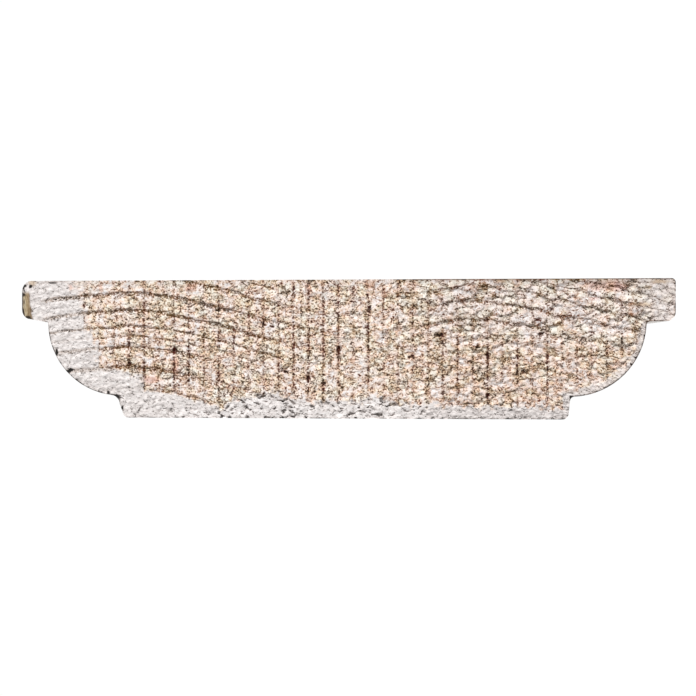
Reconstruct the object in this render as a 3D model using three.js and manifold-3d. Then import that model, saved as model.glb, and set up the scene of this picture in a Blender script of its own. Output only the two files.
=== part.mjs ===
// A length of primed pine trim moulding: a flat-faced casing with a lip and an ovolo down both edges.
// Millimetres. The flat back faces up (+Z) with its centre at the origin, and the length runs along Y.
// The near end, at -Y, is the one with the broken arris on its left lip.
import * as THREE from "three";
import { mergeVertices } from "three/addons/utils/BufferGeometryUtils.js";
import Module from "manifold-3d";

// Driving dimensions
const width = 82.55; // 3 1/4 in, across the two lips
const thickness = 17.46; // 11/16 in, from back to face
const length = 1000;
const lipDepth = 5.3; // square lip next to the back
const ovoloRadius = 9.35; // quarter round below the lip
const faceHalf = 28.4; // half the width of the flat face, and the centre line of the ovolo

// The two edges differ a little in how far each corner is rounded, how much thinner the lip gets
// towards its tip, and how far the short side of the step leans in
const rightEdge = { back: 0.5, lip: 1.15, underLip: 0.5, step: 0.55, face: 0.8, taper: 0, lean: 0.15 };
const leftEdge = { back: 1.3, lip: 1.2, underLip: 0.15, step: 1.2, face: 0.8, taper: 0.4, lean: 0.35 };

// The arris of the left lip is broken off at the near end
const breakAcross = 1.3;
const breakAlong = 0.4;

const quarterChords = 16; // chords in a quarter turn of the ovolo
const roundChords = 6; // chords in each rounded corner

const quarter = Math.PI / 2;
const wasm = await Module();
wasm.setup();

// Points along an arc about a centre
function arc(centre, radius, from, to, chords) {
  const points = [];
  for (let i = 0; i <= chords; i += 1) {
    const angle = from + ((to - from) * i) / chords;
    points.push(new THREE.Vector2(Math.cos(angle), Math.sin(angle)).multiplyScalar(radius).add(centre));
  }
  return points;
}

// Half of the section, from the corner of the back down to the corner of the face
function edgeOutline(edge) {
  const ovoloCentre = new THREE.Vector2(faceHalf, -lipDepth);

  // The inner corner under the lip touches the lip's underside and the top of the ovolo
  const underReach = ovoloRadius + edge.underLip;
  const underTurn = Math.asin(edge.underLip / underReach);
  const underAcross = faceHalf + underReach * Math.cos(underTurn);
  const underCentre = new THREE.Vector2(underAcross, -lipDepth - edge.underLip);

  // The inner corner above the face touches the foot of the ovolo and the short side of the step
  const stepReach = ovoloRadius + edge.step;
  const stepTurn = Math.asin(edge.step / stepReach);
  const stepCentre = new THREE.Vector2(faceHalf + edge.step, -lipDepth - stepReach * Math.cos(stepTurn));

  const backCentre = new THREE.Vector2(width / 2 - edge.back, -edge.back);
  const lipCentre = new THREE.Vector2(width / 2 - edge.lip, edge.lip + edge.taper - lipDepth);
  const faceCentre = new THREE.Vector2(faceHalf - edge.lean - edge.face, edge.face - thickness);
  return [
    ...arc(backCentre, edge.back, quarter, 0, roundChords),
    ...arc(lipCentre, edge.lip, 0, -quarter, roundChords),
    ...arc(underCentre, edge.underLip, quarter, Math.PI - underTurn, roundChords),
    ...arc(ovoloCentre, ovoloRadius, -underTurn, stepTurn - quarter, quarterChords).slice(1),
    ...arc(stepCentre, edge.step, quarter + stepTurn, Math.PI, roundChords).slice(1),
    ...arc(faceCentre, edge.face, 0, -quarter, roundChords),
  ];
}

// The whole section, with the left edge mirrored
function sectionShape() {
  const left = edgeOutline(leftEdge).reverse();
  left.forEach((point) => {
    point.x = -point.x;
  });
  return new THREE.Shape([...edgeOutline(rightEdge), ...left]);
}

// A closed geometry as a solid that can be cut
function toSolid(geometry) {
  geometry.deleteAttribute("normal");
  geometry.deleteAttribute("uv");
  const merged = mergeVertices(geometry);
  const vertProperties = merged.attributes.position.array;
  const triVerts = new Uint32Array(merged.index.array);
  return new wasm.Manifold(new wasm.Mesh({ numProp: 3, vertProperties, triVerts }));
}

// A cut solid as a flat-shaded geometry
function toGeometry(solid) {
  const { vertProperties, triVerts } = solid.getMesh();
  const shared = new THREE.BufferGeometry();
  shared.setAttribute("position", new THREE.BufferAttribute(vertProperties, 3));
  shared.setIndex(new THREE.BufferAttribute(triVerts, 1));
  const geometry = shared.toNonIndexed();
  geometry.computeVertexNormals();
  return geometry;
}

// The section carried along the length, with the back up and the near end at -Y
function plainLength() {
  const geometry = new THREE.ExtrudeGeometry(sectionShape(), { depth: length, bevelEnabled: false });
  geometry.rotateX(quarter);
  geometry.translate(0, length / 2, 0);
  return toSolid(geometry);
}

// The corner that is missing from the left lip, as a block with its inner face on the slope of the break
function missingArris() {
  const block = 4 * breakAcross;
  const geometry = new THREE.BoxGeometry(block, block, 3 * lipDepth);
  geometry.translate(0, -block / 2, 0);
  geometry.rotateZ(-Math.atan2(breakAlong, breakAcross));
  geometry.translate(breakAcross - width / 2, -length / 2, -lipDepth / 2);
  return toSolid(geometry);
}

const paint = new THREE.MeshStandardMaterial({ color: 0xe3dfdd, roughness: 0.7, name: "primed_pine" });
const moulding = new THREE.Mesh(toGeometry(plainLength().subtract(missingArris())), paint);
moulding.name = "moulding";

const part = new THREE.Group();
part.name = "trim_moulding";
part.add(moulding);

export default part;
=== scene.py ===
import math
from functools import partial
import bmesh
import bpy
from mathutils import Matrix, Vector, noise


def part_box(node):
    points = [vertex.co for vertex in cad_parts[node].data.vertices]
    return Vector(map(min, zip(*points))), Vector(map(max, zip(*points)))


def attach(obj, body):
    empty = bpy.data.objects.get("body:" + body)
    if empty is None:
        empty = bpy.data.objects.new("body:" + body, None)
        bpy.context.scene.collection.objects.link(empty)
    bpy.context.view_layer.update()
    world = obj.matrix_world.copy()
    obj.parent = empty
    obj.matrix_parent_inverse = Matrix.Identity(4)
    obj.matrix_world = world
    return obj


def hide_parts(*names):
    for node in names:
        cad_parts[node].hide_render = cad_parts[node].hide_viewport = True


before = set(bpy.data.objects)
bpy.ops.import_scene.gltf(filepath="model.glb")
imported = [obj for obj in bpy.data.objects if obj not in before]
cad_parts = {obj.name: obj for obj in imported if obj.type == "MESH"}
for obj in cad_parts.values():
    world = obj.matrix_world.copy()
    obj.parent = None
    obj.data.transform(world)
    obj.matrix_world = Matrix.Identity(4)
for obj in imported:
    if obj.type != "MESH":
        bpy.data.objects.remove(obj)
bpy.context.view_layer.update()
mm = 0.001
low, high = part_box("moulding")
print("frame loaded, moulding is", [round((b - a) / mm, 2) for a, b in zip(low, high)], "mm")


def linear(hexColour):  # sRGB hex to linear RGBA
    parts = [int(hexColour[i:i + 2], 16) / 255 for i in (1, 3, 5)]
    return [c / 12.92 if c <= 0.04045 else ((c + 0.055) / 1.055) ** 2.4 for c in parts] + [1.0]


def setInputs(tree, node, inputs):  # links what comes from another node, and sets the rest
    for socket, value in inputs.items():
        if isinstance(value, bpy.types.NodeSocket):
            tree.links.new(value, node.inputs[socket])
        else:
            node.inputs[socket].default_value = value


def addNode(tree, kind, inputs=None, give=0, **settings):  # gives back an output of the new node
    node = tree.nodes.new("ShaderNode" + kind)
    for i, (place, hexColour) in enumerate(settings.pop("stops", ())):
        stops = node.color_ramp.elements
        stop = stops[i] if i < 2 else stops.new(place)
        stop.position = place
        stop.color = linear(hexColour)
    for name, value in settings.items():
        setattr(node, name, value)
    setInputs(tree, node, inputs or {})
    return node.outputs[give]


mixed = {"data_type": "RGBA", "give": 2}  # settings of a Mix of two colours
tinted = {"blend_type": "MULTIPLY", **mixed}


def newMaterial(name):
    material = bpy.data.materials.new(name)
    material.use_nodes = True
    return material, material.node_tree, material.node_tree.nodes["Principled BSDF"]


def addUp(tree, value, parts, weights):  # a value with so much of each of the named parts added to it
    for name, weight in weights.items():
        value = addNode(tree, "Math", {0: parts[name], 1: weight, 2: value}, operation="MULTIPLY_ADD")
    return value


def eased(value, start, end, first=0.0, last=1.0):  # goes from first to last between start and end
    t = min(max((value - start) / (end - start), 0.0), 1.0)
    return first + (last - first) * t * t * (3 - 2 * t)


def lumps(x, d, size, seed):  # soft noise from about -1 to 1, in lumps of the given size
    return noise.noise(Vector((x / size, d / size, seed)))


def lumpsOf(lots, x, d):  # several lots of it together, each with its height, size and seed
    return sum(height * lumps(x, d, size, seed) for height, size, seed in lots)


def alongPoints(points, x):  # smooth curve through listed points
    x = min(max(x, points[0][0]), points[-1][0])
    i = next(k for k in range(1, len(points)) if x <= points[k][0])
    (x0, y0), (x1, y1) = points[i - 1], points[i]
    xBefore, yBefore = points[max(i - 2, 0)]
    xAfter, yAfter = points[min(i + 1, len(points) - 1)]
    rise0 = (y1 - yBefore) / (x1 - xBefore) * (x1 - x0)
    rise1 = (yAfter - y0) / (xAfter - x0) * (x1 - x0)
    t = (x - x0) / (x1 - x0)
    return (y0 * (1 + 2 * t) + rise0 * t) * (1 - t) ** 2 + (y1 * (3 - 2 * t) - rise1 * (1 - t)) * t * t


# Camera: nearly straight on to the sawn end, a little to its right
shot = {
    "away": 180 * mm,  # from the end to the lens
    "turn": math.radians(5.27),
    "aim": Vector((0.81, -500, -8.60)) * mm,
    "lens": 74.2,
    "clipStart": 10 * mm,
}
cameraData = bpy.data.cameras.new("camera")
cameraData.lens = shot["lens"]
cameraData.clip_start = shot["clipStart"]
camera = bpy.data.objects.new("camera", cameraData)
camera.location = shot["aim"] + shot["away"] * Vector((math.sin(shot["turn"]), -math.cos(shot["turn"]), 0))
camera.rotation_euler = (math.pi / 2, 0, shot["turn"])
bpy.context.scene.collection.objects.link(camera)
bpy.context.scene.camera = camera
print("camera placed")

# The sawn near end. From here to the mesh, sizes are in millimetres across (x) and down from the back (d),
# and a change is given by where it starts and where it is complete, then sometimes by its two values
sawnEnd = {
    "grid": 0.14,  # spacing of the mesh
    "bands": [0.15, 0.42, 1.0],  # loops round the sides just behind the end
    "face": 28.4,  # half width of the flat face
    "lip": 5.3,
    "ovolo": 9.35,
    "thick": 17.46,
    "right": (4, 16),  # the right side is rougher
    "upperRight": ((6, 14), (10, 4)),  # the upper right, by x and d, is in large flakes
    "lowLeft": ((-10, -16), (8, 11)),  # and the lower left more torn
    "warp": 2.3,  # size of the bends in rings and flakes
    "level": 0.12,  # depth of the relief along the back's edge
    "levelTo": (0, 0.9),  # where that gives way to the rest
    "jitter": (0.04, 0.23),  # how far points shift sideways, and in what size of lump
    "arris": (0.1, 0.06, 0.6),  # depth, unevenness and lump size of the edge round the end
}


def inZone(x, d, zone):
    across, down = zone
    return eased(x, *across) * eased(d, *down)


# Growth rings of the pine
rings = {
    "drop": [(-41.3, 1.55), (-38.7, 1.15), (-36.1, 0.7), (-31, 0.25), (-27, 0), (-23, 0.37), (-20.6, 0.78),
             (-18, 1.35), (-14.8, 2.1), (-11.6, 3.0), (-6, 4.3), (0, 5.2), (9, 4.4), (17, 3.4), (27, 5.2),
             (41.3, 8.6)],  # how far each ring sinks across the width
    "depths": [-9.0, -7.2, -5.6, -4.2, -2.6, -0.8, 1.55, 3.87, 5.8, 7.05, 8.38, 11.05, 13.7, 16.2, 18.5],
    "bare": [0.6, 0.6, 0.6, 0.6, 0.7, 0.8, 1.0, 1.0, 0.8, 0.65, 0.8, 0.9, 0.6, 0.5, 0.5],  # how dark it is, partly the late wood's own colour and partly painted shadow under each ring's ledge
    "primed": [0.3, 0.3, 0.3, 0.3, 0.3, 0.3, 1.0, 0.65, 0.6, 0.15, 0.45, 0.5, 0.1, 0.0, 0.0],  # under primer
    "waves": [(0.16, 2.6, 4.2), (0.1, 0.9, 7.7)],  # height, size and seed of their unevenness
    "wander": (1.2, 310),  # how far they drift up and down along the length, and in what distance
    "sway": (6.0, 420),  # and from side to side
    "rise": 0.007,  # how much they rise towards the back along it
    "bend": (0.6, 0.4),  # how far they bend at the right, across and down
    "show": [(-41.3, 1), (-12, 1), (-6, 0.5), (4, 0.3), (14, 0.5), (41.3, 0.5)],  # how plain they are
    "pieces": (-0.8, -0.2),  # noise at which one breaks off
    "piece": 1.6,  # length of a piece
    "fadeRight": (5, 9, 0.0, 0.8),  # they fade with depth at the right,
    "fadeLow": ((-21, -15), (9, 11, 0.0, 0.65)),  # towards the middle low down
    "fadeTip": (-37, -39.5),  # and in the primer at the left tip
    "ledge": (0.02, 0.12),  # step from one ring to the next, and what the upper right adds to it
    "groove": (0.12, 0.14),  # depth and half width of the groove at each
}


def ringAt(x, y, d):  # ring number, whole at the dark lines, its width, and the depth along the rings
    along = y - low.y / mm
    wander, wanderLength = rings["wander"]
    sway, swayLength = rings["sway"]
    drift = wander * noise.noise(Vector((along / wanderLength, 0, 0))) + rings["rise"] * along
    aside = sway * noise.noise(Vector((along / swayLength, 5, 0)))
    level = d - alongPoints(rings["drop"], x + aside) + drift + lumpsOf(rings["waves"], x, d)
    depths = rings["depths"]
    i = sum(level > depth for depth in depths[1:-1])
    width = depths[i + 1] - depths[i]
    return i + (level - depths[i]) / width, width, level


# Strokes of the saw, counted from the left
sawMarks = {
    "pitch": 1.893,  # their spacing
    "first": -33.06,
    "bow": 0.46,  # how far they shift to the right in the middle
    "middle": -3.7,
    "half": 29.3,  # from the middle to where they no longer shift
    "strong": (0, 3, 4, 6, 7, 9, 14, 15, 16, 17, 19, 25, 27, 29, 31),  # the darkest marks
    "weak": 0.7,  # how dark the others are
    "plain": {0: (2.5, 5.7), 3: (7.5, 11.5), 4: (7, 14), 6: (8, 13), 7: (8, 14), 9: (10.5, 14), 10: (5.5, 9),
              11: (3.8, 8), 13: (5.5, 14.5), 14: (0.5, 14.5), 15: (5.7, 14), 16: (2.5, 10), 17: (0.5, 11),
              19: (3, 10), 20: (2, 8), 21: (10.5, 15), 22: (9, 13), 23: (4.5, 14.5), 24: (10, 15),
              25: (7, 13), 27: (3.6, 16), 29: (7, 13), 31: (7, 15)},  # where they run unbroken, by depth
    "plainEnd": 0.3,  # how softly such a run ends
    "plainDash": 1.0,  # length of its dashes
    "plainDark": (-0.3, 0.15, 0.5, 1.0),  # how dark they are, by noise
    "dash": 1.5,  # and the same elsewhere
    "dark": (-0.35, 0.15, 0.2, 0.8),
    "paleLeft": (-14, -7, 0.65, 1.0),
    "paleRight": (-14, 4, 1.0, 0.75),
    "upperFade": 0.6,  # how far they fade at the upper right
    "primerFade": 0.9,  # and under primer
    "groove": (0.12, 0.12),  # depth and half width of each
    "strip": 0.05,  # how far the strips between them differ in depth
    "smear": [(-33, 0.3), (-12, 0.4), (-7, 1), (10, 1), (14, 0.6), (41.3, 0.4)],  # how stained they are
    "smearMost": 0.4,
    "smearRange": (-0.3, 0.3),  # noise at which a stain starts and is full
    "smearLength": 2.2,
}


def strokeAt(x):  # which stroke of the saw, whole numbers being the marks
    across = (x - sawMarks["middle"]) / sawMarks["half"]
    return (x - sawMarks["first"] - sawMarks["bow"] * (1 - across * across)) / sawMarks["pitch"]


def sawMarkAt(line, x, d):  # how dark a mark is, with factors on its number that keep its noise its own
    dark = eased(lumps(line * 7.3, d, sawMarks["dash"], 9.1), *sawMarks["dark"])
    dark *= eased(x, *sawMarks["paleLeft"])
    if line in sawMarks["plain"]:
        start, end = sawMarks["plain"][line]
        soft = sawMarks["plainEnd"]
        run = eased(d, start - soft, start + soft) * eased(d, end + soft, end - soft)
        plain = eased(lumps(line * 3.7, d, sawMarks["plainDash"], 17.7), *sawMarks["plainDark"])
        dark = max(dark, plain * run)
    strong = 1.0 if line in sawMarks["strong"] else sawMarks["weak"]
    return dark * strong * eased(x, *sawMarks["paleRight"])


# Primer that has run over the end
primerRun = {
    "left": [(0, -33.4), (5.1, -33.0), (7, -32.2), (8.5, -31.0), (11, -30.6), (11.6, -27.4), (12.6, -25.4),
             (14.1, -24.8), (14.6, -20.4), (15.3, -18), (16.2, -15.8), (17.46, -14.5)],  # edge, by depth
    "foot": [(-41, 14.2), (-20, 16.4), (-15.7, 16.6), (-13.4, 15.0), (-9, 14.2), (-6.5, 15.0), (-2, 15.3),
             (2, 15.4), (4.3, 14.6), (6.5, 15.5), (16, 15.9), (29, 16.0)],  # top of it along the foot, by x
    "ragged": [(0.5, 1.4, 11.3), (0.8, 0.5, 1.9)],  # reach, size and seed of its ragged edges
    "jump": (1.5, 3, 0.0, 0.4),  # the left edge goes in part from stroke to stroke, but not near the back,
    "leftSoft": (3, 1, 0.7, 2.3),  # where it fades out
    "leftRagged": 1.8,
    "footEdge": (-0.25, 0.25),
    "footRagged": 0.9,
    "rimWide": 0.8,  # along the right ovolo
    "rimEdge": (-0.45, 0.45),
    "rimCover": 0.85,
    "stepWide": 1.0,  # on the right step
    "stepEdge": (-0.3, 0.3),
    "stepFrom": (13.6, 14.4),
    "stepEnd": 30,
    "lipFrom": 37.0,  # on the right lip
    "lipEdge": (-1.5, 1.5),
    "lipRagged": 2.5,
    "lipCover": 0.6,
    "deep": 0.08,  # depth under the square cut
    "ledges": 0.5,  # how much of the relief of bare wood it takes over
    "flakes": 0.4,
    "grooves": 0.8,
    "waves": 0.1,  # its own unevenness
    "thickTop": (-0.5, 0.3),  # it is thick along the foot, from this far below its edge,
    "thickLeft": (-26, -18),  # between these
    "thickRight": (14, 7),
    "thickDeep": 0.14,
    "thickLumps": [(0.16, 1.3, 73.1), (0.1, 0.6, 75.5)],  # height, size and seed
    "slit": (0.8, 0.38),  # width and height of the slits in it
    "slitBendX": [(0.5, 0.9, 65.3)],
    "slitBendD": [(0.4, 0.7, 67.9)],
    "slitRange": (-0.27, -0.42),  # noise at which one opens
    "slitDeep": 0.25,
}


def primerCover(x, d):  # 1 where primer has run over the end, 0 on bare wood
    ragged = lumpsOf(primerRun["ragged"], x, d)
    face, lip = sawnEnd["face"], sawnEnd["lip"]
    stroke = strokeAt(x)
    stepped = x + eased(d, *primerRun["jump"]) * (math.floor(stroke) + 0.5 - stroke) * sawMarks["pitch"]
    soft = eased(d, *primerRun["leftSoft"])
    left = alongPoints(primerRun["left"], d) - stepped + primerRun["leftRagged"] * ragged
    left = eased(left, -soft, soft)
    foot = d - alongPoints(primerRun["foot"], x) + primerRun["footRagged"] * ragged
    foot = eased(foot, *primerRun["footEdge"])
    out = math.hypot(x - face, d - lip) if x > face and d > lip else 0
    rim = eased(out - sawnEnd["ovolo"] + primerRun["rimWide"] + ragged, *primerRun["rimEdge"])
    rim *= primerRun["rimCover"]
    step = 0
    if x < primerRun["stepEnd"]:
        step = eased(x - face + primerRun["stepWide"] + ragged, *primerRun["stepEdge"])
        step *= eased(d, *primerRun["stepFrom"])
    tip = eased(x - primerRun["lipFrom"] + primerRun["lipRagged"] * ragged, *primerRun["lipEdge"])
    return max(left, foot, rim, step, primerRun["lipCover"] * tip * (1 - rim))


# Torn grain between the marks
tornWood = {
    "flake": 0.75,  # height of the flakes
    "flakeUpper": 1.15,  # and at the upper right
    "flakeLong": 1.5,  # how much wider than high they are
    "bendX": [(0.3, 0.7, 61.3), (0.2, 0.35, 69.7)],  # reach, size and seed of their ragged edges
    "bendD": [(0.3, 0.7, 63.9), (0.2, 0.35, 77.3)],
    "shift": [(0.08, 0.5, 15.5)],  # how far they cross a saw mark, in strokes
    "upperRagged": 0.3,  # how ragged the edge of the large ones is
    "step": (0.05, 0.1),  # how far one stands above the next, at the left and at the right
    "tilt": (0.06, 0.13),  # how far each leans
    "crack": (0.16, 0.02),  # distance from its edge
    "crackDeep": (0.03, 0.06),
    "deep": 0.1,  # depth under the square cut
    "waves": [(1.0, 1.7, 41.9), (0.7, 0.33, 45.1)],  # height, size and seed of the roughness
    "flatWaves": [(1.1, 0.65, 43.7)],
    "flatter": 1.2,
    "rough": (-14, -4, 0.05, 0.08),  # height of it all, from left to middle
    "roughRight": 0.04,  # and what the right side adds
    "gouges": [(3.58, 3.7, 0.22, 0.3), (12.3, 6.95, 0.65, 0.22), (22.84, 11.6, 0.4, 0.24),
               (15.5, 15.6, 0.6, 0.16), (18.3, 9.6, 0.2, 0.35), (18.3, 14.5, 0.25, 0.25),
               (24.5, 5.1, 0.4, 0.18), (24.8, 6.85, 0.4, 0.2), (-15.7, 3.8, 0.22, 0.35),
               (-9.9, 5.6, 0.22, 0.22), (-8.8, 5.95, 0.28, 0.2), (-0.4, 8.85, 0.22, 0.45),
               (-4.2, 12.4, 0.22, 0.5), (-27.2, 10.7, 0.25, 0.35), (-21.2, 8.85, 0.25, 0.35),
               (8.75, 9.75, 0.4, 0.2), (-2.3, 13.1, 0.25, 0.35), (-7.1, 11.6, 0.5, 0.18),
               (17.1, 8.5, 0.25, 0.2)],  # the deepest tears: x, d, half width, half height
    "gougeDeep": 0.3,
    "calm": [(-41.3, 0.9), (-33, 0.7), (-14, 0.5), (-7, 0.4), (6, 0.45), (14, 0.72),
             (41.3, 0.72)],  # how few tears, painted as shade, there are
    "calmUpper": 0.2,  # what the upper right adds to that,
    "calmPrimer": (3.5, 1, 0.0, 0.35),  # what nearness to the primer adds
    "calmLow": -0.35,  # and what the lower left takes off
    "underEdge": (0.3, 0.06),  # the painted shadow under a flake: distance from its edge,
    "underDown": (0.02, 0.35),  # how far down it
    "underRagged": 0.2,
    "greyed": (0, 0.4),  # noise at which a patch turns grey
    "greyedSize": 1.1,
    "greyedUpper": 0.4,  # more of it at the upper right
}


def flakeAt(x, d, upper):  # a torn flake: how near its edge is, how far down it, and a number of its own
    strip = math.floor(strokeAt(x) + lumpsOf(tornWood["shift"], x, d)) + 0.5 * upper
    size = tornWood["flakeUpper"] if upper else tornWood["flake"]
    bentX = x + lumpsOf(tornWood["bendX"], x, d)
    bentD = d + lumpsOf(tornWood["bendD"], x, d)
    spot = Vector((bentX / (tornWood["flakeLong"] * size), bentD / size, 13.7 * strip))
    distances, centres = noise.voronoi(spot)
    return (distances[1] - distances[0]) * size, spot.y - centres[0].y, noise.cell(centres[0] * 40)


# Stains and nicks
spots = {
    "raggedX": [(0.25, 0.4, 27.1)],  # reach, size and seed of their ragged edges
    "raggedD": [(0.2, 0.4, 29.3)],
    "edge": (1.6, 0.5),  # where one starts and is full, in half widths
    "stains": [(33.2, 0.9, 2.4, 0.6, 0), (31.4, 2.5, 0.6, 0.2, 0), (36.9, 3.2, 1.4, 0.3, 1),
               (39.5, 0.4, 1.0, 0.2, 1), (37.9, 1.1, 0.4, 0.15, 1), (3.6, 0.7, 0.6, 0.5, 0.5),
               (5.3, 1.9, 0.3, 0.5, 0.5),
               (9.1, 0.7, 0.25, 0.5, 0.5), (-6.1, 0.7, 0.25, 0.5, 0.5), (-4.2, 1.1, 0.3, 0.8, 0.2),
               (12.4, 6.95, 0.8, 0.35, 0.8), (19.8, 0.25, 0.8, 0.25, 1), (-19.3, 0.9, 0.7, 0.5, 0.2),
               (-30.9, 0.9, 0.2, 0.6, 0.4), (-24.4, 12.6, 1.1, 0.4, 0.1), (-21.2, 10.7, 0.4, 1.0, 0.2),
               (-39.8, 0.3, 0.5, 0.35, 1), (-34.8, 0.8, 0.3, 0.35, 0.2)],  # and 0 for red to 1 for ochre
    "stainMost": 0.5,
    "chips": [(-34.9, 11.5, 0.3, 0.25), (-29.9, 14.2, 0.2, 0.15), (-36.6, 9.1, 0.15, 0.4),
              (-28.1, 16.2, 0.2, 0.2), (40.6, 3.9, 0.12, 0.12), (36.0, 10.6, 0.2, 0.15),
              (-41.0, 0.8, 0.16, 0.5), (-40.1, 0.7, 0.16, 0.26), (-40.5, 4.8, 0.5, 0.2),
              (-41.1, 1.7, 0.3, 0.2), (-37.1, 0.25, 0.5, 0.1)],  # nicks in the arris, painted dark as shade
    "chipShade": 1.6,
}


def spotAt(found, x, d):  # 1 in the middle of one of these spots, with the last number of that spot
    raggedX = x + lumpsOf(spots["raggedX"], x, d)
    raggedD = d + lumpsOf(spots["raggedD"], x, d)
    best = (0.0, 0.0)
    for spot in found:
        middleX, middleD, halfX, halfD = spot[:4]
        if abs(raggedX - middleX) < 2 * halfX and abs(raggedD - middleD) < 2 * halfD:
            off = math.hypot((raggedX - middleX) / halfX, (raggedD - middleD) / halfD)
            best = max(best, (eased(off, *spots["edge"]), spot[-1]))
    return best


# The arris round the end, broken off at the left tip, with a thin dark line of painted shade along it
arris = {
    "wide": (0.2, 0.0),  # distance from the outline where its shade starts and is full
    "speckle": (-0.2, 0.4, 0.3, 1.0),  # how dark its speckles are, by noise
    "speckleSize": 0.9,
    "plain": 0.8,  # how dark its painted shade is in general,
    "ovolo": (0.4, 0.9),  # on the left ovolo, without speckles and what they add,
    "ovoloX": -28,
    "ovoloD": (6.5, 17),
    "right": 0.85,  # at the right, below the lip's top
    "rightX": 27,
    "rightD": 3,
    "back": (4, 10),  # and along the back, from the middle on
    "backD": 1,
    "breakInner": -39.975,  # where the break starts
    "breakAlong": 0.4,  # how far it reaches along the side
    "breakShift": -0.44,  # from there to the torn wood,
    "breakLean": 0.13,  # which leans in as it goes down
    "breakTop": (1.5, 0.3, 0.0, -0.4),
    "breakRagged": [(0.15, 0.7, 37.7)],
    "breakEdge": (0.1, -0.1),
    "breakFrom": (1.2, 1.8),  # depth where the torn wood starts
    "breakFromRagged": 0.4,
    "breakEnd": -35,
    "fibre": (0.1, 0.3),  # depth and width of the fibres in it
    "fibreLong": 6,  # how much longer than wide they are
}


def edgeDistance(x, d):  # how far in from the outline
    beyond = abs(x) - sawnEnd["face"]
    if beyond > 0 and d > sawnEnd["lip"]:
        return sawnEnd["ovolo"] - math.hypot(beyond, d - sawnEnd["lip"])
    if beyond > sawnEnd["ovolo"]:
        return min(sawnEnd["lip"] - d, d, high.x / mm - abs(x))
    return min(d, sawnEnd["thick"] - d)


def arrisShade(x, d):  # how dark the painted shade along the edge round the end is, the painted shade of the nicks included
    fade = eased(edgeDistance(x, d), *arris["wide"])
    speckled = eased(lumps(x, d, arris["speckleSize"], 33.1), *arris["speckle"])
    top, bottom = arris["ovoloD"]
    if x < arris["ovoloX"] and top < d < bottom:
        shade = arris["ovolo"][0] + arris["ovolo"][1] * speckled
    elif x > arris["rightX"] and d > arris["rightD"]:
        shade = arris["right"]
    elif d < arris["backD"]:
        shade = eased(x, *arris["back"])
    else:
        shade = arris["plain"] * speckled
    return max(shade * fade, spots["chipShade"] * spotAt(spots["chips"], x, d)[0])


def tornShare(x, d, ragged):  # 1 on the torn wood of the broken arris
    if x >= arris["breakEnd"]:
        return 0
    inner = arris["breakInner"] + arris["breakShift"] + arris["breakLean"] * d + eased(d, *arris["breakTop"])
    inner += lumpsOf(arris["breakRagged"], 0, d)
    below = eased(d + arris["breakFromRagged"] * ragged, *arris["breakFrom"])
    return eased(x - inner, *arris["breakEdge"]) * below


def grooveDepth(groove, off):
    deep, half = groove
    return deep * math.exp(-(off / half) ** 2)


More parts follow.
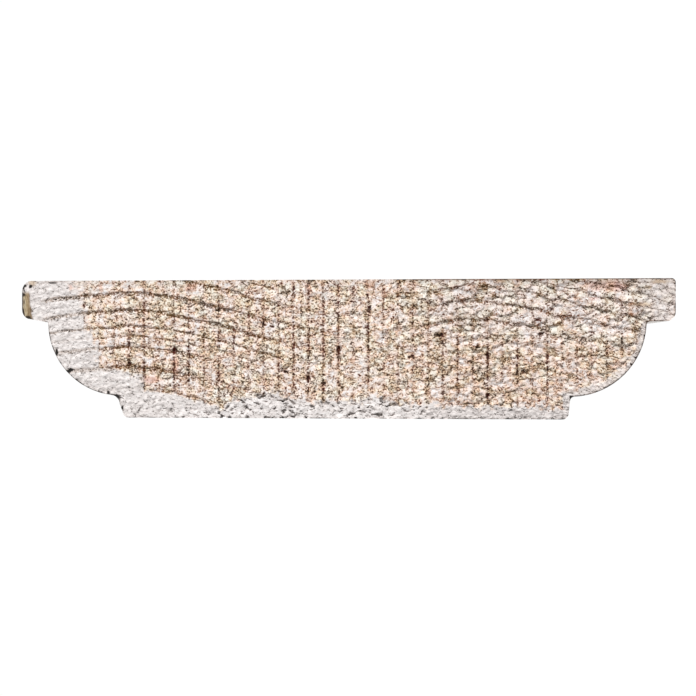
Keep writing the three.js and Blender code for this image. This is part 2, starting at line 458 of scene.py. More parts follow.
def sawnField(x, d):  # depth in mm, then the masks that colour it
    primer = primerCover(x, d)
    right = eased(x, *sawnEnd["right"])
    upperRight = inZone(x, d, sawnEnd["upperRight"])
    warpX = lumps(x, d, sawnEnd["warp"], 12.1)
    warpD = lumps(x, d, sawnEnd["warp"], 13.7)

    stroke = strokeAt(x)
    line = round(stroke)
    saw = sawMarkAt(line, x, d) * (1 - sawMarks["upperFade"] * upperRight)
    saw *= 1 - sawMarks["primerFade"] * primer
    strip = sawMarks["strip"] * noise.noise(Vector((line * 1.37, 0.3, 8.8)))
    smear = sawMarks["smearMost"] * alongPoints(sawMarks["smear"], x)
    smear *= eased(lumps(line * 5.9, d, sawMarks["smearLength"], 19.1), *sawMarks["smearRange"])

    bendX, bendD = rings["bend"]
    turn, width, level = ringAt(x + bendX * right * warpX, low.y / mm, d + bendD * right * warpD)
    past = turn - math.floor(turn)
    nearest = round(turn)
    pieces = eased(lumps(x, turn * 3, rings["piece"], 3.3), *rings["pieces"])
    shade = rings["bare"][nearest] + (rings["primed"][nearest] - rings["bare"][nearest]) * primer
    show = alongPoints(rings["show"], x) * (1 - right * eased(d, *rings["fadeRight"]))
    show *= 1 - inZone(x, d, rings["fadeLow"])
    ring = show * pieces * shade * (1 - primer * eased(x, *rings["fadeTip"]))
    ledge = (1 - past) * (rings["ledge"][0] + rings["ledge"][1] * upperRight * pieces)
    groove = saw * grooveDepth(sawMarks["groove"], (stroke - line) * sawMarks["pitch"])
    groove += ring * grooveDepth(rings["groove"], min(past, 1 - past) * width)

    edge, down, own = flakeAt(x, d, upperRight + tornWood["upperRagged"] * warpX > 0.5)
    flakes = eased(x, *sawnEnd["right"], *tornWood["step"]) * (1 + own)
    flakes -= eased(x, *sawnEnd["right"], *tornWood["tilt"]) * down
    flakes += eased(x, *sawnEnd["right"], *tornWood["crackDeep"]) * eased(edge, *tornWood["crack"])
    waves = lumpsOf(tornWood["waves"], x, d) + lumpsOf(tornWood["flatWaves"], x, tornWood["flatter"] * d)
    rough = eased(x, *tornWood["rough"]) + tornWood["roughRight"] * right
    gouge = spotAt(tornWood["gouges"], x, d)[0]
    depth = tornWood["deep"] + strip + ledge + flakes + groove + rough * waves
    depth += tornWood["gougeDeep"] * gouge

    primerDepth = primerRun["deep"] + primerRun["ledges"] * ledge + primerRun["flakes"] * flakes
    primerDepth += primerRun["grooves"] * groove + primerRun["waves"] * waves
    depth += (primerDepth - depth) * primer
    thick = eased(d - alongPoints(primerRun["foot"], x), *primerRun["thickTop"])
    thick *= eased(x, *primerRun["thickLeft"]) * eased(x, *primerRun["thickRight"])
    slitX, slitD = primerRun["slit"]
    bentX = x + lumpsOf(primerRun["slitBendX"], x, d)
    bentD = d + lumpsOf(primerRun["slitBendD"], x, d)
    slits = eased(noise.noise(Vector((bentX / slitX, bentD / slitD, 71.3))), *primerRun["slitRange"])
    thickDepth = primerRun["thickDeep"] + lumpsOf(primerRun["thickLumps"], x, d)
    thickDepth += primerRun["slitDeep"] * slits
    depth += (thickDepth - depth) * thick
    depth = sawnEnd["level"] + (depth - sawnEnd["level"]) * eased(d, *sawnEnd["levelTo"])

    calm = alongPoints(tornWood["calm"], x) + tornWood["calmUpper"] * upperRight
    calm += eased(x - alongPoints(primerRun["left"], d), *tornWood["calmPrimer"])
    calm += tornWood["calmLow"] * inZone(x, d, sawnEnd["lowLeft"])
    under = eased(down + tornWood["underRagged"] * warpD, *tornWood["underDown"])
    under *= eased(edge, *tornWood["underEdge"])
    greyed = lumps(x, d, tornWood["greyedSize"], 51.3) + tornWood["greyedUpper"] * upperRight
    greyed = eased(greyed, *tornWood["greyed"])
    rust, hue = spotAt(spots["stains"], x, d)
    return max(depth, 0.0), {
        "primer": primer, "saw": saw, "ring": ring, "edge": edge, "greyed": greyed, "rings": turn,
        "level": level * mm, "strokes": stroke, "own": own, "smear": smear,
        "gouge": gouge * (1 - primer), "right": right, "calm": calm, "upper": upperRight, "under": under,
        "rust": spots["stainMost"] * rust, "hue": hue, "foot": thick, "slit": slits * thick,
        "torn": tornShare(x, d, warpX),
    }


def facesWith(bm, test):
    return [f for f in bm.faces if test(f.calc_center_median())]


def cutAlong(bm, faces, axis, places):  # slices the faces at each place, passing on what lies beyond
    normal = Vector([1.0 if i == axis else 0.0 for i in range(3)])
    rest = faces
    for place in places:
        geometry = rest + list(dict.fromkeys(e for f in rest for e in f.edges))
        geometry += list(dict.fromkeys(v for f in rest for v in f.verts))
        made = bmesh.ops.bisect_plane(bm, geom=geometry, dist=2e-6, plane_co=normal * place, plane_no=normal)
        rest = [f for f in made["geom"] if isinstance(f, bmesh.types.BMFace)]
        rest = [f for f in rest if f.calc_center_median()[axis] > place]


def steps(start, end, step):  # places between start and end, a step apart
    first = math.floor(start / step) + 1
    return [i * step for i in range(first, math.ceil(end / step))]


def buildMoulding():  # the CAD piece, cut finely at the near end and less so elsewhere
    bm = bmesh.new()
    bm.from_mesh(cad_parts["moulding"].data)
    bmesh.ops.remove_doubles(bm, verts=bm.verts, dist=1e-6)
    bmesh.ops.dissolve_limit(bm, angle_limit=math.radians(0.5), verts=bm.verts, edges=bm.edges)
    grid = sawnEnd["grid"] * mm
    backStep, runStep, farGrid = 10 * grid, 20 * mm, 5 * grid
    plainEnd = 10 * mm  # no loops along the run this near either end
    farBand = high.y - 1 * mm
    bands = [low.y + b * mm for b in sawnEnd["bands"]]
    cutAlong(bm, facesWith(bm, lambda c: c.z > -1e-6), 0, steps(low.x, high.x, backStep))
    cutAlong(bm, list(bm.faces), 1, bands + steps(low.y + plainEnd, high.y - plainEnd, runStep) + [farBand])
    for nearAnEnd, step in ((lambda c: c.y < bands[-1], grid), (lambda c: c.y > farBand, farGrid)):
        cutAlong(bm, facesWith(bm, nearAnEnd), 0, steps(low.x, high.x, step))
        cutAlong(bm, facesWith(bm, nearAnEnd), 2, steps(low.z, high.z, step))
    print("moulding cut into", len(bm.faces), "faces")
    return bm


sawnMasks = ("primer", "saw", "ring", "edge", "greyed", "rim", "torn", "rings", "level", "strokes", "own",
             "smear", "gouge", "right", "calm", "rust", "hue", "foot", "slit", "upper", "under")
farEnd = {"edge": 1.0, "saw": 0.45, "ring": 0.6, "calm": 0.5}  # sawn clean, with nothing run over it


def roughenEnds(bm):
    masks = {name: bm.verts.layers.float.new(name) for name in sawnMasks}
    jitter, jitterSize = sawnEnd["jitter"]
    rimDepth, rimUneven, rimSize = sawnEnd["arris"]
    fibreDepth, fibreWidth = arris["fibre"]
    for v in bm.verts:
        x, y, d = v.co.x / mm, v.co.y / mm, -v.co.z / mm
        turn, _, level = ringAt(x, y, d)
        v[masks["rings"]] = turn
        v[masks["level"]] = level * mm
        v[masks["strokes"]] = strokeAt(x)
        for name, value in farEnd.items():
            v[masks[name]] = value
        behind = (v.co.y - low.y) / mm
        if behind > sawnEnd["bands"][-1]:
            continue
        depth, values = sawnField(x, d)
        for name, value in values.items():
            v[masks[name]] = value
        if behind < 1e-3:
            # rim is painted shade along the arris, darkening the colour there
            v[masks["rim"]] = arrisShade(x, d)
            if any(abs(f.normal.y) < 0.5 for f in v.link_faces):
                depth = rimDepth + rimUneven * lumps(x, d, rimSize, 71.1)
            else:
                v.co.x += jitter * mm * lumps(x, d, jitterSize, 81.3)
                v.co.z += jitter * mm * lumps(x, d, jitterSize, 91.7)
            v.co.y += depth * mm
        elif x < arris["breakInner"] and behind < arris["breakAlong"] + 0.01:
            # rim here is the painted shade of the nicks in the broken arris
            v[masks["rim"]] = spots["chipShade"] * spotAt(spots["chips"], x, d)[0]
            v.co.y += fibreDepth * mm * max(0.5 + lumps(x, d / arris["fibreLong"], fibreWidth, 17.3), 0)
    print("ends roughened")


def mouldingMaterialIndex(face):  # 0 sawn end, 1 primer, 2 bare back
    endFacing, endReach = 0.5, 1.2 * mm  # how far a face turns to an end, and how near it lies
    backFacing, backReach = 0.95, 0.3 * mm  # and the same for the back
    centre = face.calc_center_median()
    nearEnd = face.normal.y < -endFacing and centre.y < low.y + endReach
    if nearEnd or face.normal.y > endFacing:
        return 0
    return 2 if face.normal.z > backFacing and centre.z > -backReach else 1


# Sawn pine end grain: a torn cream surface with brown pits crowded along the saw marks, part under primer;
# shade and highlights of its relief are partly painted into the colour.
# Sizes are in mm. The pits and fibres are drawn coarser than real ones, which would be finer than a pixel
sawnLook = {
    "bare": [(0.0, "#240f03"), (0.2, "#502d0e"), (0.42, "#a67f5e"), (0.6, "#d6cac1"), (0.8, "#ede6e1"),
             (1.0, "#fffdfa")],
    "primed": [(0.0, "#1e1916"), (0.12, "#5a524e"), (0.3, "#a09894"), (0.55, "#d0c8c5"), (0.75, "#e3dcd9"),
               (1.0, "#f5f0ee")],
    "torn": [(0.0, "#2c2219"), (0.1, "#5c4a38"), (0.25, "#c3b497"), (0.4, "#8f7955"), (0.52, "#b29d7c"),
             (0.66, "#7d6648"), (0.8, "#a38c6e"), (1.0, "#6a5442")],  # bare wood, streaked, with painted shade darkening both edges of the rounded break
    # near-black of the painted shade along the arris and in its nicks, and the primer's nicks are painted
    # shade on the lower side of its shelves
    "nickShade": "#2c2014",
    "stain": [(0.35, "#43320f"), (0.5, "#341a08"), (0.65, "#5e260b")],  # olive, brown and rust in the pits
    "strokes": [(0.35, "#3a1407"), (0.5, "#641a0e"), (0.65, "#4e2a0e")],  # red and brown in the saw marks
    "smear": [(0.35, "#dcb994"), (0.5, "#dcb8a8"), (0.65, "#d2c2a0")],  # tan along them
    "halo": "#e0b88e",  # tan round the pits
    # grey of the ring lines: late wood, partly painted shadow under the ring ledges
    "ring": "#5c5248",
    "primedRing": "#d8c6b4",
    "rust": [(0.0, "#e2a79a"), (0.4, "#d9a077"), (0.8, "#d0ac66")],  # red, rust and ochre stains
    "tints": [(0.32, "#faf9f0"), (0.46, "#fffaf2"), (0.55, "#fff5f1"), (0.68, "#f6f5f8")],  # cream to grey
    "crowded": "#f0cfa9",  # tan where the pits are crowded
    "roughness": 0.85,
    "bump": 0.1,
    "grit": 0.195,  # the pits
    "cluster": 0.55,  # the groups that they stand in
    "tearShade": 0.27,  # the torn shelves between, drawn as painted shade below and painted highlight above
    "shelf": 0.11,  # height of a shelf
    "grain": 0.16,  # the fine roughness
    "clump": 1.3,  # patches of one tint
    "streak": (0.22, 0.42),  # height of the streaks along the rings, and that for a width of 1
    "dash": 0.27,  # lengths of a saw mark
    "dashApart": 3.1,  # keeps the lengths of one mark apart from the next
    "jitter": 0.3,  # how far a saw mark wavers, in strokes
    "strokeHalf": 0.23,  # half width of the pitted strip along a saw mark,
    "smearHalf": 0.42,  # of the stain beside it,
    "kerfHalf": 0.13,  # of its dark middle
    "ringHalf": 0.3,  # and of a ring
    "ringWide": 1.9,  # a usual distance from ring to ring
    "core": 0.25,  # how much of a saw mark's width is full
    "ringCore": 0.3,  # and of a ring's
    "creviceShade": (0.3, 0.45),  # height of the crevices painted dark as shade in the thick primer, and that for a width of 1
    "crumb": 0.42,  # crumbs of it
    "fibre": (0.2, 0.15),  # width of the fibres in the broken arris, and that for a length of 1
    "fibreShift": 1.1,  # how far they shift its colours
    "tornFrom": 0.2,  # where its colours start and end, in from the tip
    "tornTo": 1.45,
}

# Where each mark starts and is full on the pattern it is made from (1 and 2), and its values there (3 and 4)
sawnRanges = {
    "tearShade": {1: 0.075, 2: 0.125},
    "lit": {1: -0.07, 2: -0.15},
    "streaky": {1: 0.44, 2: 0.32},
    "dashes": {1: 0.4, 2: 0.52, 3: 0.1},
    "broken": {1: 0.6, 2: 0.42, 3: 0.35, 4: 1.3},
    "crack": {1: 0.2, 2: 0.03},
    "parted": {1: 0.54, 2: 0.44},
    "crowd": {1: 0.33, 2: 0.56},
    "pit": {1: 0.3, 2: 0.25},
    "speck": {1: 0.26, 2: 0.2},
    "creviceShade": {1: 0.38, 2: 0.32},
    "gap": {1: 0.04, 2: 0.012},
    "nickShade": {1: 0.09, 2: 0.12},
    "grouped": {1: 0.46, 2: 0.54},
    "under": {1: 0.56, 2: 0.46, 3: 0.25, 4: 1.2},
    "darkest": {3: 0.7, 4: 0.8},
    "lightest": {3: 1.05, 4: 0.99},
    "bare": {1: 0.3, 2: 0.7},
    "primed": {1: 0.3, 2: 0.7, 3: 0.64, 4: 0.92},
    "stained": {1: 0.2, 2: 0.74, 3: 0.95, 4: 0.0},
    "halo": {1: 0.42, 2: 0.27, 4: 0.6},
    "warm": {1: 0.36, 2: 0.62, 4: 0.45},
    "greyed": {3: 1.05, 4: 0.75},
    "deeper": {1: 0.35, 2: 0.8, 3: 1.3, 4: 1.0},
}

# How much each part adds to what is made from it
# Some parts paint light: shade along the arris, under torn shelves and large flakes, in primer nicks and
# crevices, and highlight over the shelves; pits, specks, slits, gaps and ring lines partly
sawnWeights = {
    "jagged": {"streak": 0.16, "grit": 0.2},  # wavering of the rings
    "crowd": {"stroke": 1.0, "ringLine": 0.5, "crack": 0.55, "gouge": 0.8},
    "calm": -0.16,
    "pitted": {"crowd": -0.13, "stroke": -0.21, "gouge": -0.16, "rust": -0.04},
    "bare": {"pit": -1.13, "tearShade": -0.62, "lit": 0.1, "own": 0.05, "streaky": -0.08, "stain": -0.04,
             "kerf": -0.26, "ringLine": -0.42, "crack": -0.14, "underside": -0.19, "upper": -0.02,
             "gouge": -0.15, "right": -0.115, "rim": -0.45},
    "primed": {"grain": 0.3, "speck": -0.45, "streaky": -0.1, "creviceShade": -0.5, "gap": -0.34, "nickShade": -0.36,
               "lit": 0.08, "slit": -0.5, "ringLine": -0.44, "tearShade": -0.12, "crack": -0.14, "foot": 0.12,
               "right": -0.14, "rim": -0.75},
    "primedShift": -0.165,
    "warmUpper": -0.2,
}


def sawnPineEnd():
    material, tree, shader = newMaterial("sawnPineEnd")
    add = partial(addNode, tree)
    look, ranges, weights = sawnLook, sawnRanges, sawnWeights
    place = add("TexCoord", give="Object")
    part = {}
    for name in sawnMasks:
        part[name] = add("Attribute", attribute_name=name, give="Fac")
    x, y, z = add("SeparateXYZ", {0: place}, give=slice(3))
    grit = add("TexNoise", {"Vector": place, "Scale": 1 / (look["grit"] * mm), "Detail": 1.0,
                            "Distortion": 0.8})
    cluster = add("TexNoise", {"Vector": place, "Scale": 1 / (look["cluster"] * mm), "Detail": 1.0})
    # torn shelves, drawn from the slope of a noise as painted shade below and a painted highlight above, as
    # if lit from above
    above = add("VectorMath", {0: place, 1: (0, 0, look["shelf"] * mm)}, operation="ADD")
    heights = []
    for where in (place, above):
        heights.append(add("TexNoise", {"Vector": where, "Scale": 1 / (look["tearShade"] * mm),
                                        "Detail": 1.0, "Distortion": 0.6}))
    shelf = add("Math", {0: heights[1], 1: heights[0]}, operation="SUBTRACT")
    tearShade = add("MapRange", {0: shelf, **ranges["tearShade"]})
    part["lit"] = add("MapRange", {0: shelf, **ranges["lit"]})
    grain = add("TexNoise", {"Vector": place, "Scale": 1 / (look["grain"] * mm), "Detail": 1.0})
    clump = add("TexNoise", {"Vector": place, "Scale": 1 / (look["clump"] * mm), "Detail": 1.0})
    # streaks drawn out along the rings
    height, drawn = look["streak"]
    thinX = add("Math", {0: x, 1: drawn}, operation="MULTIPLY")
    alongRing = add("CombineXYZ", {0: thinX, 1: y, 2: part["level"]})
    streak = add("TexNoise", {"Vector": alongRing, "Scale": 1 / (height * mm), "Detail": 2.0})
    part["streaky"] = add("MapRange", {0: streak, **ranges["streaky"]})
    # how near a saw mark is
    jitter = look["jitter"]
    strokeX = add("Math", {0: grain, 1: jitter, 2: part["strokes"]}, operation="MULTIPLY_ADD")
    strokeX = add("Math", {0: strokeX, 1: -jitter / 2}, operation="ADD")
    offStroke = add("Math", {0: strokeX, 1: 0.5}, operation="PINGPONG")
    lineNumber = add("Math", {0: part["strokes"]}, operation="ROUND")
    lineX = add("Math", {0: lineNumber, 1: look["dashApart"] * mm}, operation="MULTIPLY")
    alongLine = add("CombineXYZ", {0: lineX, 2: z})
    dashes = add("TexNoise", {"Vector": alongLine, "Scale": 1 / (look["dash"] * mm), "Detail": 1.0})
    dashes = add("MapRange", {0: dashes, **ranges["dashes"]})
    sawn = add("Math", {0: dashes, 1: part["saw"]}, operation="MULTIPLY")
    for name, half, strength in (("stroke", "strokeHalf", sawn), ("kerf", "kerfHalf", sawn),
                                 ("stain", "smearHalf", part["smear"])):
        reach = look[half] / sawMarks["pitch"]
        near = add("MapRange", {0: offStroke, 1: reach, 2: look["core"] * reach})
        part[name] = add("Math", {0: near, 1: strength}, operation="MULTIPLY")
    # how near a ring is
    part.update(grit=grit, grain=grain, streak=streak)
    jagged = addUp(tree, part["rings"], part, weights["jagged"])
    middle = -sum(weights["jagged"].values()) / 2
    jagged = add("Math", {0: jagged, 1: middle}, operation="ADD")
    offRing = add("Math", {0: jagged, 1: 0.5}, operation="PINGPONG")
    reach = look["ringHalf"] / look["ringWide"]
    ring = add("MapRange", {0: offRing, 1: reach, 2: look["ringCore"] * reach})
    broken = add("MapRange", {0: grit, **ranges["broken"]})
    for strength in (part["ring"], broken):
        ring = add("Math", {0: ring, 1: strength}, operation="MULTIPLY")
    part["ringLine"] = ring
    # cracks round some of the flakes
    crack = add("MapRange", {0: part["edge"], **ranges["crack"]})
    parted = add("MapRange", {0: clump, **ranges["parted"]})
    part["crack"] = add("Math", {0: crack, 1: parted}, operation="MULTIPLY")
    # the painted shade of the shelves and the pits crowd along all of these, and leave calm patches between
    crowd = add("Math", {0: part["calm"], 1: weights["calm"], 2: cluster}, operation="MULTIPLY_ADD")
    crowd = add("MapRange", {0: crowd, **ranges["crowd"]})
    crowd = addUp(tree, crowd, part, weights["crowd"])
    part["crowd"] = add("Clamp", {0: crowd})
    part["tearShade"] = add("Math", {0: tearShade, 1: part["crowd"]}, operation="MULTIPLY")
    # pits and specks: dark partly by the wood's own colour and partly as painted shade in the pores
    pitted = addUp(tree, grit, part, weights["pitted"])
    part["pit"] = add("MapRange", {0: pitted, **ranges["pit"]})
    part["speck"] = add("MapRange", {0: pitted, **ranges["speck"]})
    # crevices painted dark as shade in the thick primer, thin gaps between its crumbs painted dark as shade,
    # and thin nicks of painted shade in all of the primer
    height, drawn = look["creviceShade"]
    fleckPlace = add("VectorMath", {0: place, 1: (drawn, 1, 1)}, operation="MULTIPLY")
    creviceShade = add("TexNoise", {"Vector": fleckPlace, "Scale": 1 / (height * mm), "Detail": 1.0,
                             "Distortion": 0.8})
    creviceShade = add("MapRange", {0: creviceShade, **ranges["creviceShade"]})
    part["creviceShade"] = add("Math", {0: creviceShade, 1: part["foot"]}, operation="MULTIPLY")
    gap = add("TexNoise", {"Vector": place, "Scale": 1 / (look["crumb"] * mm), "Detail": 1.0,
                           "Distortion": 1.0})
    gap = add("Math", {0: gap, 1: 0.5}, operation="SUBTRACT")
    gap = add("Math", {0: gap}, operation="ABSOLUTE")
    gap = add("MapRange", {0: gap, **ranges["gap"]})
    nickShade = add("MapRange", {0: shelf, **ranges["nickShade"]})
    grouped = add("MapRange", {0: cluster, **ranges["grouped"]})
    for strength in (grouped, part["foot"]):
        gap = add("Math", {0: gap, 1: strength}, operation="MULTIPLY")
    part["gap"] = gap
    part["nickShade"] = add("Math", {0: nickShade, 1: grouped}, operation="MULTIPLY")
    # painted shadow under the large flakes, as if lit from above
    under = add("MapRange", {0: grit, **ranges["under"]})
    for strength in (part["under"], part["upper"]):
        under = add("Math", {0: under, 1: strength}, operation="MULTIPLY")
    part["underside"] = under
    # light and dark
    darkest = add("MapRange", {0: part["right"], **ranges["darkest"]})
    lightest = add("MapRange", {0: part["right"], **ranges["lightest"]})
    bareValue = add("MapRange", {0: grain, **ranges["bare"], 3: darkest, 4: lightest}, clamp=False)
    bareValue = addUp(tree, bareValue, part, weights["bare"])
    primedValue = add("MapRange", {0: streak, **ranges["primed"]}, clamp=False)
    primedValue = addUp(tree, primedValue, part, weights["primed"])
    primedValue = add("Math", {0: primedValue, 1: weights["primedShift"]}, operation="ADD")
    bare = add("ValToRGB", {0: bareValue}, stops=look["bare"])
    primed = add("ValToRGB", {0: primedValue}, stops=look["primed"])
    # colour of the pits and flakes
    stain = add("ValToRGB", {0: clump}, stops=look["stain"])
    stain = add("Mix", {0: ring, 6: stain, 7: linear(look["ring"])}, **mixed)
    mark = add("ValToRGB", {0: clump}, stops=look["strokes"])
    stain = add("Mix", {0: part["stroke"], 6: stain, 7: mark}, **mixed)
    stained = add("MapRange", {0: bareValue, **ranges["stained"]})
    bare = add("Mix", {0: stained, 6: bare, 7: stain}, **mixed)
    smeared = add("ValToRGB", {0: clump}, stops=look["smear"])
    rusty = add("ValToRGB", {0: part["hue"]}, stops=look["rust"])
    halo = add("MapRange", {0: pitted, **ranges["halo"]})
    warm = add("MapRange", {0: cluster, **ranges["warm"]})
    warm = add("Math", {0: part["upper"], 1: weights["warmUpper"], 2: warm},
         operation="MULTIPLY_ADD", use_clamp=True)
    haloTint, crowdedTint = linear(look["halo"]), linear(look["crowded"])
    for fill, tint in ((part["stain"], smeared), (halo, haloTint), (warm, crowdedTint)):
        bare = add("Mix", {0: fill, 6: bare, 7: tint}, **tinted)
    tints = add("ValToRGB", {0: clump}, stops=look["tints"])
    bare = add("Mix", {0: 1.0, 6: bare, 7: tints}, **tinted)
    strength = add("MapRange", {0: part["greyed"], **ranges["greyed"]})
    deeper = add("MapRange", {0: bareValue, **ranges["deeper"]})
    strength = add("Math", {0: strength, 1: deeper}, operation="MULTIPLY")
    bare = add("HueSaturation", {"Saturation": strength, "Color": bare})
    primed = add("Mix", {0: ring, 6: primed, 7: linear(look["primedRing"])}, **tinted)
    both = add("Mix", {0: part["primer"], 6: bare, 7: primed}, **mixed)
    both = add("Mix", {0: part["rust"], 6: both, 7: rusty}, **tinted)
    # the broken arris, streaked up and down, its colour across the break bare wood with painted shade at
    # both edges
    width, drawn = look["fibre"]
    fibrePlace = add("VectorMath", {0: place, 1: (1, 1, drawn)}, operation="MULTIPLY")
    fibre = add("TexNoise", {"Vector": fibrePlace, "Scale": 1 / (width * mm), "Detail": 2.0})
    tornX = add("Math", {0: z, 1: arris["breakLean"], 2: x}, operation="MULTIPLY_ADD")
    tornX = add("Math", {0: fibre, 1: look["fibreShift"] * mm, 2: tornX}, operation="MULTIPLY_ADD")
    tornAcross = add("MapRange", {0: tornX, 1: low.x + look["tornFrom"] * mm,
                                  2: low.x + look["tornTo"] * mm})
    torn = add("ValToRGB", {0: tornAcross}, stops=look["torn"])
    # the rim mask paints shade in near-black over the broken arris
    torn = add("Mix", {0: part["rim"], 6: torn, 7: linear(look["nickShade"])}, **mixed)
    final = add("Mix", {0: part["torn"], 6: both, 7: torn}, **mixed)
    relief = add("Mix", {0: part["primer"], 2: bareValue, 3: primedValue})
    bump = add("Bump", {"Strength": 0.5, "Distance": look["bump"] * mm, "Height": relief})
    setInputs(tree, shader, {"Base Color": final, "Roughness": look["roughness"], "Normal": bump})
    return material


# White primer on planed pine: a matt white coat with long streaks of grain showing through as faint ridges
primerLook = {
    "coat": [(0.3, "#dcd6d1"), (0.5, "#e6e1dd"), (0.7, "#eeebe8")],
    "worn": "#cfc3b2",
    "wornRange": {1: 1.2, 2: 1.34, 4: 0.5},  # where the coat starts to wear, is worn, and by how much
    "grain": (1.6, 90),  # width and length of a streak of grain, mm
    "brush": (0.5, 25),  # of the finer marks in the coat
    "scuff": (6, 14),  # and of a scuff
    "patch": 55,  # patches of one tone
    "tone": {"brush": 0.5, "patch": 0.5},  # how much these count beside the grain
    "roughness": {1: 0.3, 2: 0.7, 3: 0.5, 4: 0.68},  # by the finer marks
    "ridge": 0.12,  # mm
}


def whitePrimer():
    material, tree, shader = newMaterial("whitePrimerOnPine")
    add = partial(addNode, tree)
    look = primerLook
    place = add("TexCoord", give="Object")
    streaks = {}
    for name in ("grain", "brush", "scuff"):
        across, along = look[name]
        drawn = add("VectorMath", {0: place, 1: (1, across / along, 1)}, operation="MULTIPLY")
        streaks[name] = add("TexNoise", {"Vector": drawn, "Scale": 1 / (across * mm), "Detail": 3.0})
    streaks["patch"] = add("TexNoise", {"Vector": place, "Scale": 1 / (look["patch"] * mm), "Detail": 2.0})
    tone = addUp(tree, streaks["grain"], streaks, look["tone"])
    middle = sum(look["tone"].values()) / 2
    tone = add("Math", {0: tone, 1: middle}, operation="SUBTRACT")
    coat = add("ValToRGB", {0: tone}, stops=look["coat"])
    worn = add("Math", {0: streaks["scuff"], 1: streaks["brush"]}, operation="ADD")
    worn = add("MapRange", {0: worn, **look["wornRange"]})
    coat = add("Mix", {0: worn, 6: coat, 7: linear(look["worn"])}, **mixed)
    matt = add("MapRange", {0: streaks["brush"], **look["roughness"]})
    bump = add("Bump", {"Strength": 0.5, "Distance": look["ridge"] * mm, "Height": tone})
    setInputs(tree, shader, {"Base Color": coat, "Roughness": matt, "Normal": bump})
    return material


# Planed pine left bare: broad arches of yellow early wood and browner late wood, with faint planer ripples
backLook = {
    "wood": [(0.0, "#b39068"), (0.06, "#d2bf9f"), (0.5, "#ccb592"), (0.85, "#bc9d74"), (1.0, "#a57f55")],
    "fibre": (0.5, 40),  # width and length of the fine streaks, mm
    "fibreShade": {1: 0.3, 2: 0.7, 3: 0.86, 4: 1.06},  # how far they lighten and darken it
    "ringRagged": 0.12,  # how far they waver the rings
    "ripple": 3.0,  # length of a planer ripple, mm
    "rippleDeep": 0.02,
    "spray": 2.0,  # how far the primer has strayed in from the edges, mm
    "sprayRagged": 9,  # size of its ragged patches, mm
    "sprayCover": 0.7,
    "sprayed": "#e2dcd6",
    "roughness": 0.6,
}


def planedPineBack():
    material, tree, shader = newMaterial("planedPineBack")
    add = partial(addNode, tree)
    look = backLook
    place = add("TexCoord", give="Object")
    x, y = add("SeparateXYZ", {0: place}, give=slice(2))
    turn = add("Attribute", attribute_name="rings", give="Fac")
    across, along = look["fibre"]
    drawn = add("VectorMath", {0: place, 1: (1, across / along, 1)}, operation="MULTIPLY")
    fibre = add("TexNoise", {"Vector": drawn, "Scale": 1 / (across * mm), "Detail": 3.0})
    turn = add("Math", {0: fibre, 1: look["ringRagged"], 2: turn}, operation="MULTIPLY_ADD")
    growth = add("Math", {0: turn}, operation="FRACT")
    wood = add("ValToRGB", {0: growth}, stops=look["wood"])
    shade = add("MapRange", {0: fibre, **look["fibreShade"]})
    wood = add("HueSaturation", {"Value": shade, "Color": wood})
    ragged = add("TexNoise", {"Vector": place, "Scale": 1 / (look["sprayRagged"] * mm), "Detail": 4.0})
    reach = look["spray"] * mm
    outwards = add("Math", {0: x}, operation="ABSOLUTE")
    outwards = add("Math", {0: ragged, 1: 3 * reach, 2: outwards}, operation="MULTIPLY_ADD")
    edge = high.x + reach / 2
    spray = add("MapRange", {0: outwards, 1: edge, 2: edge + reach, 4: look["sprayCover"]})
    wood = add("Mix", {0: spray, 6: wood, 7: linear(look["sprayed"])}, **mixed)
    ripple = add("Math", {0: y, 1: math.tau / (look["ripple"] * mm)}, operation="MULTIPLY")
    ripple = add("Math", {0: ripple}, operation="SINE")
    bump = add("Bump", {"Strength": 0.4, "Distance": look["rippleDeep"] * mm, "Height": ripple})
    setInputs(tree, shader, {"Base Color": wood, "Roughness": look["roughness"], "Normal": bump})
    return material


bm = buildMoulding()
bm.normal_update()
roughenEnds(bm)
for face in bm.faces:
    face.material_index = mouldingMaterialIndex(face)
    face.smooth = face.material_index != 0
mouldingMesh = bpy.data.meshes.new("mouldingSkin")
bm.to_mesh(mouldingMesh)
bm.free()
for makeMaterial in (sawnPineEnd, whitePrimer, planedPineBack):
    mouldingMesh.materials.append(makeMaterial())
moulding = bpy.data.objects.new("mouldingSkin", mouldingMesh)
bpy.context.scene.collection.objects.link(moulding)
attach(moulding, "root")
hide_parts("moulding")
print("moulding has", sum(len(p.vertices) - 2 for p in mouldingMesh.polygons), "triangles")

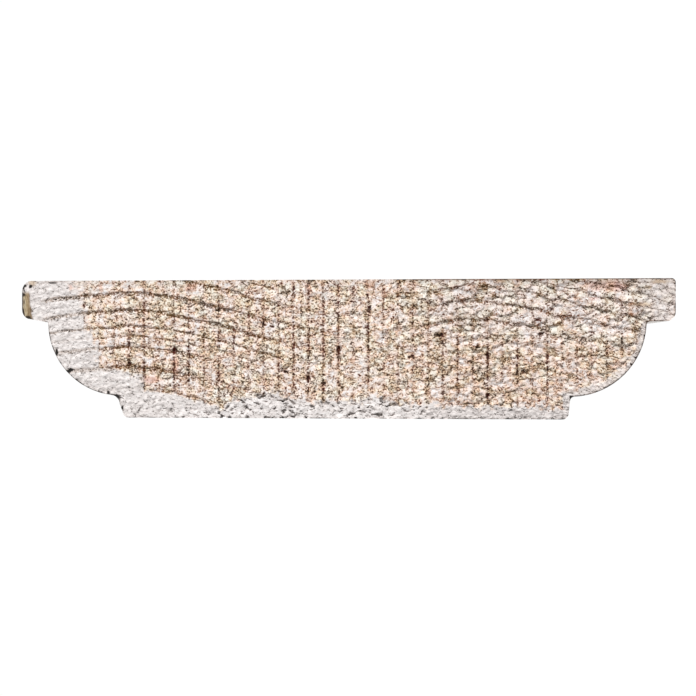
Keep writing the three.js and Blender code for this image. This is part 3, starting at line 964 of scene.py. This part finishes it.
# Stage: a pale floor well below that fades out into a white surround, with soft light from above the camera
stage = {
    "floor": "#ececec",
    "floorDrop": 0.55,  # metres, as are the next two
    "floorClear": 0.7,  # the floor is whole out to here
    "floorEnd": 1.4,  # and gone here
    "surround": 0.42,  # light from all round
    "backdrop": 1.02,  # and how bright the surround itself looks
    "sunTilt": math.radians(52),  # height of the key light
    "sunTurn": math.radians(-22),  # round to the left of the near end
    "sunSoft": math.radians(20),
    "sunPower": 3.3,
}
bpy.ops.mesh.primitive_circle_add(radius=stage["floorEnd"], vertices=96, fill_type="NGON",
                                  location=(0, 0, -stage["floorDrop"]))
floor = bpy.context.object
floor.name = "floor"
floorPaint, floorTree, floorShader = newMaterial("paleFloor")
setInputs(floorTree, floorShader, {"Base Color": linear(stage["floor"]), "Roughness": 0.9})
floorPlace = addNode(floorTree, "TexCoord", give="Object")
outwards = addNode(floorTree, "VectorMath", {0: floorPlace}, operation="LENGTH", give="Value")
fade = addNode(floorTree, "MapRange", {0: outwards, 1: stage["floorClear"], 2: stage["floorEnd"]},
               interpolation_type="SMOOTHSTEP")
gone = addNode(floorTree, "BsdfTransparent")
floorMix = addNode(floorTree, "MixShader", {0: fade, 1: floorShader.outputs[0], 2: gone})
setInputs(floorTree, floorTree.nodes["Material Output"], {"Surface": floorMix})
floor.data.materials.append(floorPaint)

world = bpy.data.worlds.new("surround")
bpy.context.scene.world = world
world.use_nodes = True
worldTree = world.node_tree
white = linear("#ffffff")
ray = addNode(worldTree, "LightPath", give="Is Camera Ray")
lit = worldTree.nodes["Background"]
setInputs(worldTree, lit, {"Color": white, "Strength": stage["surround"]})
seen = addNode(worldTree, "Background", {"Color": white, "Strength": stage["backdrop"]})
either = addNode(worldTree, "MixShader", {0: ray, 1: lit.outputs[0], 2: seen})
setInputs(worldTree, worldTree.nodes["World Output"], {"Surface": either})

key = bpy.data.lights.new("key", "SUN")
key.energy = stage["sunPower"]
key.angle = stage["sunSoft"]
keyLamp = bpy.data.objects.new("key", key)
keyLamp.rotation_euler = (math.pi / 2 - stage["sunTilt"], 0, stage["sunTurn"])
bpy.context.scene.collection.objects.link(keyLamp)
bpy.context.scene.view_settings.view_transform = "Standard"
print("stage lit")
